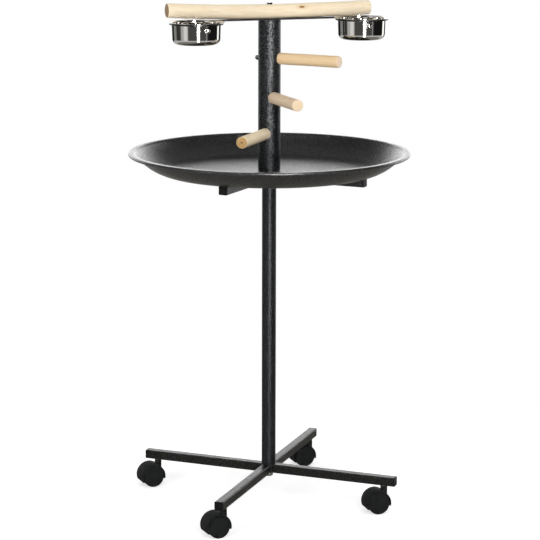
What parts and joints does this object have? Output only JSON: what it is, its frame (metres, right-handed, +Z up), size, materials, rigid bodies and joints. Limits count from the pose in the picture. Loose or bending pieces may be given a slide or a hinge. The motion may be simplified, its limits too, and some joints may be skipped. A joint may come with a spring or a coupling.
{
  "type": "parrot play stand",
  "caption": "Rolling play stand for a parrot: black steel pole on a caster cross, round catch tray, wooden perches and hanging steel bowls.",
  "frame": {"origin": "on the floor under the axis of the pole", "axes": "+Z up along the pole, +X along the main perch, -Y towards the side with the bowls and the side perches"},
  "size_m": [0.562, 0.562, 1.0208],
  "materials": {
    "powder_coat": "hammered semi-gloss black powder coat",
    "tray_coat": "fine-textured black powder coat",
    "perch_wood": "bare peeled branch",
    "side_wood": "bare turned wood",
    "stainless": "polished stainless steel",
    "chrome_stud": "polished",
    "zinc": "bright zinc plate",
    "black_plastic": "moulded black plastic",
    "wheel_plastic": "moulded black plastic"
  },
  "bodies": {
    "stand": {"base_tube_long": "powder_coat", "base_tube_front": "powder_coat", "base_tube_back": "powder_coat", "base_end_caps": "black_plastic", "base_bolt": "zinc", "base_washer": "zinc", "caster_weld_nuts": "zinc", "lower_pole": "powder_coat", "pole_bottom_plug": "zinc", "pole_top_plug": "zinc", "tray_cross_long": "powder_coat", "tray_cross_front": "powder_coat", "tray_cross_back": "powder_coat", "tray_cross_caps": "black_plastic", "tray": "tray_coat", "joint_stud": "zinc", "post_tube": "powder_coat", "post_bottom_plug": "zinc", "post_top_plug": "zinc", "bowl_bar": "powder_coat", "bowl_ring_left": "powder_coat", "bowl_ring_right": "powder_coat", "main_perch": "perch_wood", "top_bolt": "zinc", "side_perch_upper": "side_wood", "side_perch_middle": "side_wood", "side_perch_lower": "side_wood", "hanger_bolts": "zinc", "hanger_washers": "zinc", "cap_nuts": "zinc", "caster_stem_right": "zinc", "caster_stem_back": "zinc", "caster_stem_left": "zinc", "caster_stem_front": "zinc"},
    "caster_right": {"caster_hood_right": "black_plastic", "caster_axle_right": "zinc"},
    "wheel_right_far": {"caster_wheel_right_far": "wheel_plastic"},
    "wheel_right_near": {"caster_wheel_right_near": "wheel_plastic"},
    "caster_back": {"caster_hood_back": "black_plastic", "caster_axle_back": "zinc"},
    "wheel_back_far": {"caster_wheel_back_far": "wheel_plastic"},
    "wheel_back_near": {"caster_wheel_back_near": "wheel_plastic"},
    "caster_left": {"caster_hood_left": "black_plastic", "caster_axle_left": "zinc"},
    "wheel_left_far": {"caster_wheel_left_far": "wheel_plastic"},
    "wheel_left_near": {"caster_wheel_left_near": "wheel_plastic"},
    "caster_front": {"caster_hood_front": "black_plastic", "caster_axle_front": "zinc"},
    "wheel_front_far": {"caster_wheel_front_far": "wheel_plastic"},
    "wheel_front_near": {"caster_wheel_front_near": "wheel_plastic"},
    "bowl_left": {"bowl_left": "stainless", "bowl_stud_left": "chrome_stud"},
    "bowl_right": {"bowl_right": "stainless", "bowl_stud_right": "chrome_stud"}
  },
  "joints": [
    {"name": "swivel_right", "type": "hinge", "parent": "stand", "child": "caster_right", "pos_m": [0.18792, -0.16336, 0.045], "axis": [0, 0, 1], "continuous": true},
    {"name": "roll_right_far", "type": "hinge", "parent": "caster_right", "child": "wheel_right_far", "pos_m": [0.17194, -0.16252, 0.022], "axis": [0.0523, 0.9986, 0], "continuous": true},
    {"name": "roll_right_near", "type": "hinge", "parent": "caster_right", "child": "wheel_right_near", "pos_m": [0.17194, -0.16252, 0.022], "axis": [0.0523, 0.9986, 0], "continuous": true},
    {"name": "swivel_back", "type": "hinge", "parent": "stand", "child": "caster_back", "pos_m": [0.16336, 0.18792, 0.045], "axis": [0, 0, 1], "continuous": true},
    {"name": "roll_back_far", "type": "hinge", "parent": "caster_back", "child": "wheel_back_far", "pos_m": [0.14736, 0.18792, 0.022], "axis": [0, 1, 0], "continuous": true},
    {"name": "roll_back_near", "type": "hinge", "parent": "caster_back", "child": "wheel_back_near", "pos_m": [0.14736, 0.18792, 0.022], "axis": [0, 1, 0], "continuous": true},
    {"name": "swivel_left", "type": "hinge", "parent": "stand", "child": "caster_left", "pos_m": [-0.18792, 0.16336, 0.045], "axis": [0, 0, 1], "continuous": true},
    {"name": "roll_left_far", "type": "hinge", "parent": "caster_left", "child": "wheel_left_far", "pos_m": [-0.2039, 0.16252, 0.022], "axis": [-0.0523, 0.9986, 0], "continuous": true},
    {"name": "roll_left_near", "type": "hinge", "parent": "caster_left", "child": "wheel_left_near", "pos_m": [-0.2039, 0.16252, 0.022], "axis": [-0.0523, 0.9986, 0], "continuous": true},
    {"name": "swivel_front", "type": "hinge", "parent": "stand", "child": "caster_front", "pos_m": [-0.16336, -0.18792, 0.045], "axis": [0, 0, 1], "continuous": true},
    {"name": "roll_front_far", "type": "hinge", "parent": "caster_front", "child": "wheel_front_far", "pos_m": [-0.1793, -0.18932, 0.022], "axis": [-0.0872, 0.9962, 0], "continuous": true},
    {"name": "roll_front_near", "type": "hinge", "parent": "caster_front", "child": "wheel_front_near", "pos_m": [-0.1793, -0.18932, 0.022], "axis": [-0.0872, 0.9962, 0], "continuous": true},
    {"name": "bowl_turn_left", "type": "hinge", "parent": "stand", "child": "bowl_left", "pos_m": [-0.1715, -0.06, 0.9867], "axis": [0, 0, 1], "continuous": true},
    {"name": "bowl_turn_right", "type": "hinge", "parent": "stand", "child": "bowl_right", "pos_m": [0.1715, -0.06, 0.9867], "axis": [0, 0, 1], "continuous": true}
  ]
}
